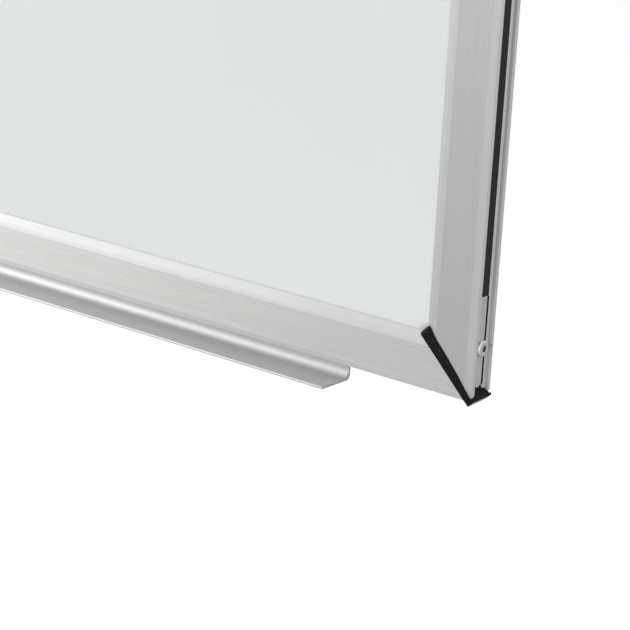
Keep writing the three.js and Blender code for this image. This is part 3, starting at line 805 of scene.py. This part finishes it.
class Look:
    """A material and a short way to add nodes to it."""

    def __init__(self, name):
        self.material = bpy.data.materials.new(name)
        self.material.use_nodes = True
        self.tree = self.material.node_tree
        self.shader = self.tree.nodes["Principled BSDF"]

    def add(self, kind, settings=None, values=None, links=None):
        node = self.tree.nodes.new(kind)
        for key, value in (settings or {}).items():
            setattr(node, key, value)
        for key, value in (values or {}).items():
            node.inputs[key].default_value = value
        for key, socket in (links or {}).items():
            self.tree.links.new(socket, node.inputs[key])
        return node

    def set(self, **values):
        for key, value in values.items():
            self.shader.inputs[key.replace("_", " ")].default_value = value

    def link(self, socket, name):
        self.tree.links.new(socket, self.shader.inputs[name])

    def grain(self, across, along):
        """The UV map in millimetres, stretched: so many features a millimetre each way."""
        uv = self.add("ShaderNodeUVMap", {"uv_map": "grain"})
        return self.add("ShaderNodeMapping", values={"Scale": (across, along, 1)},
                        links={"Vector": uv.outputs[0]}).outputs[0]

    def space(self, scale):
        """Object coordinates, so many features a metre."""
        place = self.add("ShaderNodeTexCoord")
        return self.add("ShaderNodeMapping", values={"Scale": (scale, scale, scale)},
                        links={"Vector": place.outputs["Object"]}).outputs[0]

    def noise(self, vector, detail=3, roughness=0.5):
        """Noise with one feature to each unit of the vector."""
        return self.add("ShaderNodeTexNoise", {"noise_dimensions": "3D"},
                        {"Scale": 1, "Detail": detail, "Roughness": roughness},
                        {"Vector": vector}).outputs["Fac"]

    def spread(self, value, low, high, start=0.25, end=0.75):
        """A number from low to high as the value goes from start to end."""
        return self.add("ShaderNodeMapRange", values={
            "From Min": start, "From Max": end, "To Min": low, "To Max": high},
            links={"Value": value}).outputs[0]

    def tint(self, value, one, two, start=0.3, end=0.7):
        """A colour from one to two as the value goes from start to end."""
        node = self.add("ShaderNodeValToRGB", links={"Fac": value})
        first, last = node.color_ramp.elements
        first.position, first.color = start, (*one, 1)
        last.position, last.color = end, (*two, 1)
        return node.outputs["Color"]

    def between(self, share, one, two):
        """Colour one where the share is 0, and two where it is 1. The mix node takes colours in
        its sockets 6 and 7 and gives one from its socket 2."""
        mix = self.add("ShaderNodeMix", {"data_type": "RGBA"}, links={0: share, 6: one, 7: two})
        return mix.outputs[2]

    def bump(self, value, strength, distance_mm):
        values = {"Strength": strength, "Distance": distance_mm * MM}
        return self.add("ShaderNodeBump", values=values, links={"Height": value}).outputs[0]


# The aluminium's colours: on the bevels and sides, on the tray, and on the ribbed flat, painted
# darker as painted shade between its ribs
SMOOTH_TONES = ((0.525, 0.530, 0.523), (0.557, 0.562, 0.555))
TRAY_TONES = ((0.488, 0.494, 0.488), (0.514, 0.520, 0.514))
RIB_SHADE_TONES = ((0.480, 0.486, 0.477), (0.500, 0.506, 0.497))


def anodised(name="anodised", tones=SMOOTH_TONES, ribs=None, gloss=(0.61, 0.71), anisotropy=0.68):
    """Satin aluminium, drawn out along the length. The ribbed span of the section is painted
    darker, as painted shade between its ribs.
    """
    look = Look(name)
    fine = look.noise(look.grain(2.2, 0.01), 4, 0.6)
    broad = look.noise(look.grain(0.35, 0.004), 3)
    smooth = look.tint(broad, *tones)
    if ribs:
        around = look.add("ShaderNodeSeparateXYZ", links={"Vector": look.grain(1, 1)}).outputs[0]
        inside = look.add("ShaderNodeMath", {"operation": "COMPARE"},
                          {1: (ribs[0] + ribs[1]) / 2, 2: (ribs[1] - ribs[0]) / 2},
                          {0: around}).outputs[0]
        # The ribbed span gets darker tones: painted shade between the ribs
        rib_shade = look.tint(broad, *RIB_SHADE_TONES)
        look.link(look.between(inside, smooth, rib_shade), "Base Color")
    else:
        look.link(smooth, "Base Color")
    look.link(look.spread(fine, *gloss), "Roughness")
    look.link(look.bump(fine, 0.3, 0.012), "Normal")
    look.link(look.add("ShaderNodeTangent", {"direction_type": "UV_MAP", "uv_map": "grain"})
              .outputs[0], "Tangent")
    look.set(Metallic=0.8, Anisotropic=anisotropy)
    return look.material


def enamel():
    look = Look("enamel")
    broad = look.noise(look.space(6), 2)
    peel = look.noise(look.space(260), 2)
    look.link(look.tint(broad, (0.775, 0.800, 0.798), (0.795, 0.818, 0.815)), "Base Color")
    look.link(look.spread(look.noise(look.space(25), 4), 0.14, 0.22), "Roughness")
    look.link(look.bump(peel, 0.1, 0.02), "Normal")
    look.set(Specular_IOR_Level=0.4)
    return look.material


def core():
    look = Look("core")
    fibres = look.noise(look.space(900), 5, 0.7)
    look.link(look.tint(fibres, (0.20, 0.125, 0.07), (0.36, 0.25, 0.15)), "Base Color")
    look.link(look.bump(fibres, 0.5, 0.1), "Normal")
    look.set(Roughness=0.9)
    return look.material


def galvanised():
    look = Look("galvanised")
    cells = look.add("ShaderNodeTexVoronoi", values={"Scale": 1},
                     links={"Vector": look.space(120)}).outputs["Color"]
    spangle = look.add("ShaderNodeSeparateColor", links={"Color": cells}).outputs[0]
    look.link(look.tint(spangle, (0.40, 0.42, 0.43), (0.55, 0.57, 0.58), 0, 1), "Base Color")
    look.link(look.spread(spangle, 0.32, 0.5, 0, 1), "Roughness")
    look.set(Metallic=0.9)
    return look.material


# The second tone is dust on the plain plastic, and painted sheen or highlight on the rim and ridge
# looks
def black_plastic(name="black_plastic", dust_and_sheen=(0.0200, 0.0190, 0.0170), start=0.5, end=0.75):
    look = Look(name)
    grain = look.noise(look.space(6000), 2)
    specks = look.noise(look.space(1100), 4, 0.6)
    look.link(look.tint(specks, (0.0072, 0.0067, 0.0061), dust_and_sheen, start, end), "Base Color")
    look.link(look.spread(grain, 0.38, 0.5), "Roughness")
    look.link(look.bump(grain, 0.15, 0.02), "Normal")
    facing = look.add("ShaderNodeLayerWeight", values={"Blend": 0.5}).outputs["Facing"]
    look.link(look.spread(facing, 0.08, 1, 0.5, 0.9), "Specular IOR Level")
    return look.material


def black_strip():
    look = Look("black_strip")
    lines = look.noise(look.grain(4, 0.01), 3)
    look.link(look.tint(lines, (0.016, 0.0155, 0.0145), (0.026, 0.025, 0.0235)), "Base Color")
    look.link(look.spread(lines, 0.55, 0.7), "Roughness")
    look.link(look.bump(lines, 0.2, 0.02), "Normal")
    look.set(Specular_IOR_Level=0.2)
    return look.material


def zinc(name="zinc", tones=((0.60, 0.605, 0.59), (0.66, 0.665, 0.65))):
    look = Look(name)
    mottle = look.noise(look.space(700), 4)
    broad = look.noise(look.space(90), 2)
    look.link(look.tint(broad, *tones), "Base Color")
    look.link(look.spread(mottle, 0.5, 0.6), "Roughness")
    look.link(look.bump(mottle, 0.15, 0.01), "Normal")
    look.set(Metallic=0.9)
    return look.material


def path_length(points):
    return sum(math.dist(a, b) for a, b in zip(points, points[1:]))


def ribbed_span():
    """How far around the section the ribbed flat starts and ends."""
    step, step_depth = SHADOW_STEP
    ribs = ribbed(INNER_BEVEL_START - step, OUTER_BEVEL[0])
    start = path_length([*bevel_points(), (INNER_BEVEL_START - step, step_depth), ribs[0]])
    return start, start + path_length(ribs)


LOOKS = {make.__name__: make() for make in (anodised, enamel, core, galvanised, black_plastic,
                                            black_strip, zinc)}
# A pale rim as painted sheen: it stands in for the floor's reflection on the fin's edge
RIM_PAINTED_SHEEN = black_plastic("black_plastic_rim_painted_sheen", (0.42, 0.40, 0.36), 0.22, 0.45)
# A lighter ridge as painted highlight along the strip's crown
RIDGE_PAINTED_HIGHLIGHT = black_plastic("black_plastic_ridge_painted_highlight", (0.075, 0.07, 0.062), 0.45, 0.65)
RAIL_LOOK = anodised("anodised_rail", ribs=ribbed_span())
TRAY_LOOK = anodised("anodised_tray", TRAY_TONES, gloss=(0.55, 0.62), anisotropy=0.5)
SPECIAL_LOOKS = {"rail": RAIL_LOOK, "tray": TRAY_LOOK}
# The socket's walls: a near-black zinc, as painted shade in the recess
RECESS_PAINTED_SHADE = zinc("zinc_recess_painted_shade", ((0.08, 0.08, 0.075), (0.13, 0.13, 0.12)))


# Stage, light and camera

FLOOR_DROP = 0.6
FLOOR_SIZE = 12
FLOOR_TONE = 0.8
FLOOR_SEEN_TONE = 0.45
FLOOR_GLOW = 0.82
CLIP_START = 0.01
WORLD_LEVEL = 0.34
KEY_AT = (-1.85, -1.45, 0.28)
KEY_AIM = (0.25, 0, -0.35)
KEY_SIZE = 1.3
KEY_WATTS = 49
FILL_AT = (2.2, -1.4, -0.65)
FILL_AIM = (0.45, 0, -0.4)
FILL_SIZE = 0.8
FILL_WATTS = 17


def grey(tone):
    return tone, tone, tone, 1


def seen_directly(tree, also=("Is Glossy Ray", "Is Transmission Ray")):
    """1 for a ray from the camera and the other kinds named, and 0 for the rest."""
    path = tree.nodes.new("ShaderNodeLightPath")
    total = path.outputs["Is Camera Ray"]
    for name in also:
        larger = tree.nodes.new("ShaderNodeMath")
        larger.operation = "MAXIMUM"
        tree.links.new(total, larger.inputs[0])
        tree.links.new(path.outputs[name], larger.inputs[1])
        total = larger.outputs[0]
    return total


def make_world():
    """A soft light from all around, which looks white by itself and in what reflects it."""
    world = bpy.data.worlds.new("studio")
    bpy.context.scene.world = world
    world.use_nodes = True
    tree = world.node_tree
    plain = tree.nodes["Background"]
    plain.inputs["Color"].default_value = grey(1)
    plain.inputs["Strength"].default_value = WORLD_LEVEL
    white = tree.nodes.new("ShaderNodeBackground")
    white.inputs["Color"].default_value = grey(1)
    white.inputs["Strength"].default_value = 1
    mix = tree.nodes.new("ShaderNodeMixShader")
    tree.links.new(seen_directly(tree), mix.inputs[0])
    tree.links.new(plain.outputs[0], mix.inputs[1])
    tree.links.new(white.outputs[0], mix.inputs[2])
    tree.links.new(mix.outputs[0], tree.nodes["World Output"].inputs["Surface"])


def make_floor():
    """A pale floor that shows white where it is lit and keeps the object's shadow."""
    bm = bmesh.new()
    bmesh.ops.create_grid(bm, x_segments=1, y_segments=1, size=FLOOR_SIZE / 2)
    mesh = bpy.data.meshes.new("floor")
    bm.to_mesh(mesh)
    bm.free()
    floor = bpy.data.objects.new("floor", mesh)
    floor.location.z = CAD_BOX[0].z - FLOOR_DROP
    bpy.context.scene.collection.objects.link(floor)
    material = bpy.data.materials.new("pale_floor")
    material.use_nodes = True
    tree = material.node_tree
    tree.nodes.remove(tree.nodes["Principled BSDF"])
    matt = tree.nodes.new("ShaderNodeBsdfDiffuse")
    matt.inputs["Color"].default_value = grey(FLOOR_TONE)
    soft = tree.nodes.new("ShaderNodeBsdfDiffuse")
    soft.inputs["Color"].default_value = grey(FLOOR_SEEN_TONE)
    glow = tree.nodes.new("ShaderNodeEmission")
    glow.inputs["Strength"].default_value = FLOOR_GLOW
    both = tree.nodes.new("ShaderNodeAddShader")
    tree.links.new(soft.outputs[0], both.inputs[0])
    tree.links.new(glow.outputs[0], both.inputs[1])
    mix = tree.nodes.new("ShaderNodeMixShader")
    tree.links.new(seen_directly(tree, ("Is Transmission Ray",)), mix.inputs[0])
    tree.links.new(matt.outputs[0], mix.inputs[1])
    tree.links.new(both.outputs[0], mix.inputs[2])
    tree.links.new(mix.outputs[0], tree.nodes["Material Output"].inputs["Surface"])
    mesh.materials.append(material)


def make_lamp(name, place, aim, size, watts):
    data = bpy.data.lights.new(name, "AREA")
    data.size = size
    data.energy = watts
    lamp = bpy.data.objects.new(name, data)
    lamp.location = place
    lamp.rotation_euler = (Vector(aim) - Vector(place)).to_track_quat("-Z", "Y").to_euler()
    bpy.context.scene.collection.objects.link(lamp)


def make_camera():
    data = bpy.data.cameras.new("camera")
    data.lens = FOCAL_MM
    data.sensor_width = SENSOR_MM
    data.clip_start = CLIP_START
    camera = bpy.data.objects.new("camera", data)
    bpy.context.scene.collection.objects.link(camera)
    camera.matrix_world = (Matrix.Translation(CAMERA_AT)
                           @ Matrix.Rotation(math.radians(AZIMUTH), 4, "Z")
                           @ Matrix.Rotation(math.radians(90 - ELEVATION), 4, "X")
                           @ Matrix.Rotation(math.radians(ROLL), 4, "Z"))
    bpy.context.scene.camera = camera


# The whole board

for node_name, node in NODES.items():
    node.data.materials.clear()
    node.data.materials.append(LOOKS[SLOTS[node_name]])

for side_name, side_facts in SIDES.items():
    make_rail(side_name)
    if side_name != "bottom":
        make_strip(side_name)
    for end_name, end_sign in zip(side_facts.ends, (-1, 1)):
        # The seat's rib is a dark filler standing in for the shade in the slit
        for make in (make_bar, make_locking_screw, make_shade_rib):
            make(side_name, end_name, end_sign)
make_tray()
for corner_name in CORNERS:
    make_connector(corner_name)
make_hanger_screws()

make_world()
make_floor()
make_lamp("key", KEY_AT, KEY_AIM, KEY_SIZE, KEY_WATTS)
make_lamp("fill", FILL_AT, FILL_AIM, FILL_SIZE, FILL_WATTS)
make_camera()
bpy.context.scene.view_settings.view_transform = "Standard"
